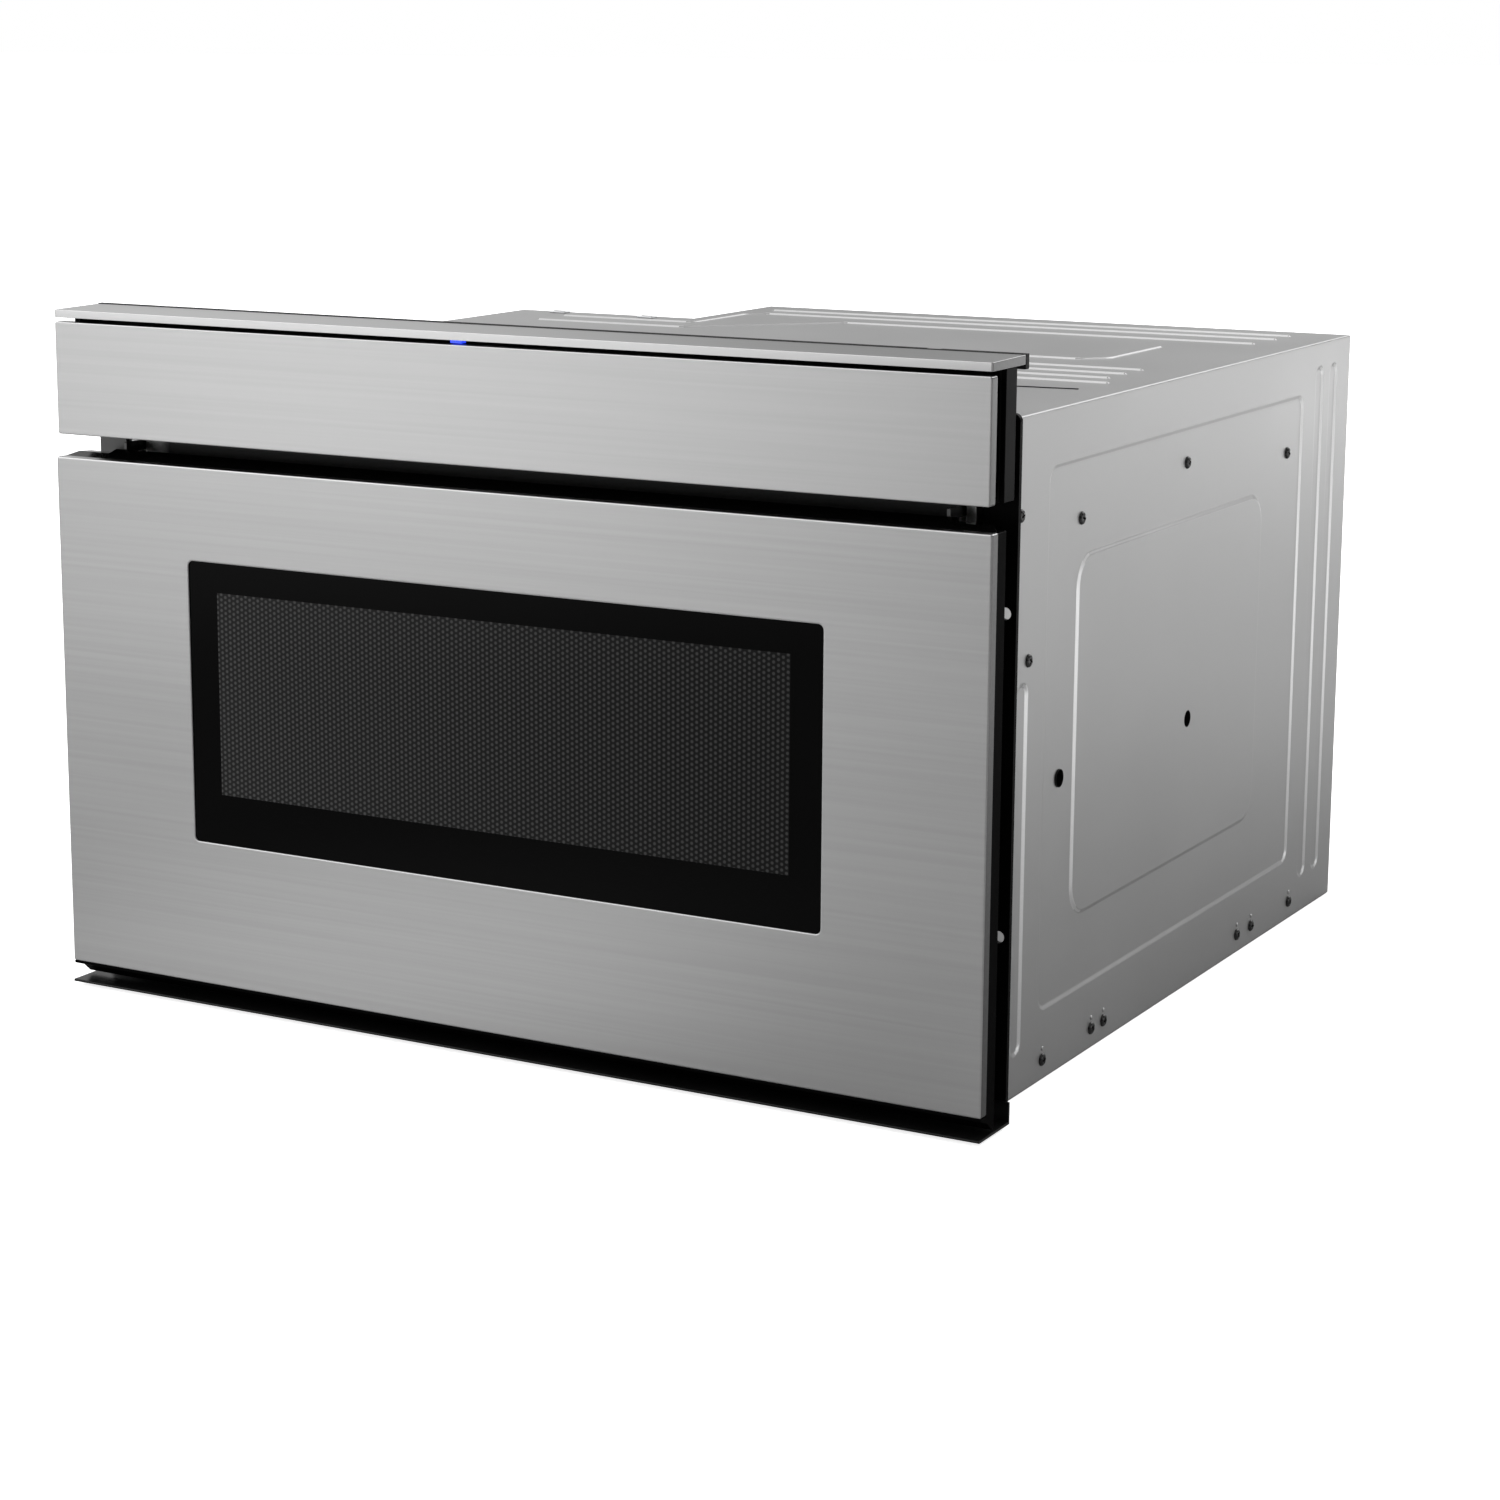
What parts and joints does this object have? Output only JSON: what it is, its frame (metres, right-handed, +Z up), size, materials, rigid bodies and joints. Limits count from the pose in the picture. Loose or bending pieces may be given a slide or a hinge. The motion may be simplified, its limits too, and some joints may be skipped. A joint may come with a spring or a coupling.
{
  "type": "microwave drawer",
  "caption": "Built-in microwave drawer: sheet-metal case with a front flange, a steel drawer front with a black window that slides out, and a steel control panel above it that tilts out.",
  "frame": {"origin": "middle of the case's underside, at the middle of the bounding box in X and Y", "axes": "+X to the right seen from the front, +Y to the back, +Z up; the drawer opens towards -Y"},
  "size_m": [0.5986, 0.5906, 0.4064],
  "materials": {
    "brushed_steel_skin": "horizontally brushed",
    "case_sheet": "satin light grey",
    "black_frame": "satin black",
    "black_plastic": "satin black",
    "grey_plastic": "satin dark grey",
    "white_plastic": "satin white",
    "dark_glass": "black tinted, polished",
    "clear_glass": "polished",
    "lens_blue": "glowing blue",
    "cavity_enamel": "smooth grey enamel",
    "zinc_sheet": "zinc-plated steel sheet",
    "ceramic": "black glass ceramic",
    "mica": "pale mica sheet",
    "screen_black": "perforated, black",
    "aluminium": "bare",
    "circuit_board": "green laminate",
    "motor_steel": "zinc-plated",
    "copper_core": "laminated core with copper winding",
    "seal_rubber": "foam strip",
    "screw_steel": "plated",
    "ball_steel": "polished",
    "gear_plastic": "acetal"
  },
  "bodies": {
    "chassis": {"base_plate": "case_sheet", "right_side_panel": "case_sheet", "left_side_panel": "case_sheet", "top_panel": "case_sheet", "rear_panel": "case_sheet", "outlet_recess": "case_sheet", "front_flange": "black_frame", "lower_lip": "black_frame", "top_trim": "brushed_steel_skin", "trim_carrier": "black_plastic", "trim_seal": "seal_rubber", "trim_clips": "motor_steel", "control_housing": "grey_plastic", "status_lens": "lens_blue", "case_screws": "screw_steel", "cavity_front_frame": "cavity_enamel", "cavity_wrapper": "cavity_enamel", "cavity_floor": "cavity_enamel", "cavity_rear": "cavity_enamel", "stirrer_cover": "mica", "waveguide": "zinc_sheet", "stirrer_motor": "motor_steel", "magnetron": "aluminium", "fan_baffle": "zinc_sheet", "fan_motor": "motor_steel", "exhaust_duct": "zinc_sheet", "inverter_board": "circuit_board", "high_voltage_transformer": "copper_core", "heat_sink": "aluminium", "power_board": "circuit_board", "line_filter": "black_plastic", "power_inlet": "black_plastic", "lamp_housing": "zinc_sheet", "cavity_lamp": "clear_glass", "outer_slides": "zinc_sheet", "slide_brackets": "zinc_sheet", "drive_motor": "motor_steel", "latch_switches": "white_plastic"},
    "drawer": {"door_skin": "brushed_steel_skin", "window_glass": "dark_glass", "window_screen": "screen_black", "door_frame": "black_plastic", "choke_frame": "zinc_sheet", "choke_cover": "black_plastic", "inner_window": "clear_glass", "latch_hooks": "white_plastic", "door_carrier": "zinc_sheet", "inner_slides": "zinc_sheet", "drive_rack": "gear_plastic", "drawer_pan": "cavity_enamel", "ceramic_tray": "ceramic"},
    "slide_members": {"middle_slides": "zinc_sheet", "slide_bearings": "ball_steel"},
    "pinion": {"drive_pinion": "gear_plastic"},
    "stirrer_body": {"stirrer": "aluminium"},
    "fan_rotor": {"cooling_fan": "black_plastic"},
    "control_panel": {"panel_fascia": "brushed_steel_skin", "panel_bin": "black_plastic", "touch_glass": "dark_glass", "display_board": "circuit_board"}
  },
  "joints": [
    {"name": "drawer_slide", "type": "slide", "parent": "chassis", "child": "drawer", "axis": [0, -1, 0], "range_m": [0, 0.381]},
    {"name": "slide_extension", "type": "slide", "parent": "chassis", "child": "slide_members", "axis": [0, -1, 0], "range_m": [0, 0.1905]},
    {"name": "pinion_spin", "type": "hinge", "parent": "chassis", "child": "pinion", "pos_m": [0.123, -0.2323, 0.033], "axis": [1, 0, 0], "range_deg": [0, 1460]},
    {"name": "panel_tilt", "type": "hinge", "parent": "chassis", "child": "control_panel", "pos_m": [0, -0.2863, 0.3385], "axis": [1, 0, 0], "range_deg": [0, 45]},
    {"name": "stirrer_spin", "type": "hinge", "parent": "chassis", "child": "stirrer_body", "pos_m": [0, -0.04, 0.08], "axis": [0, 0, 1], "continuous": true},
    {"name": "fan_spin", "type": "hinge", "parent": "chassis", "child": "fan_rotor", "pos_m": [0.08, 0.234, 0.121], "axis": [1, 0, 0], "continuous": true}
  ],
  "couplings": [
    {"joint": "slide_extension", "follows": "drawer_slide", "ratio": 0.5},
    {"joint": "pinion_spin", "follows": "drawer_slide", "rad_per_m": 66.667}
  ]
}
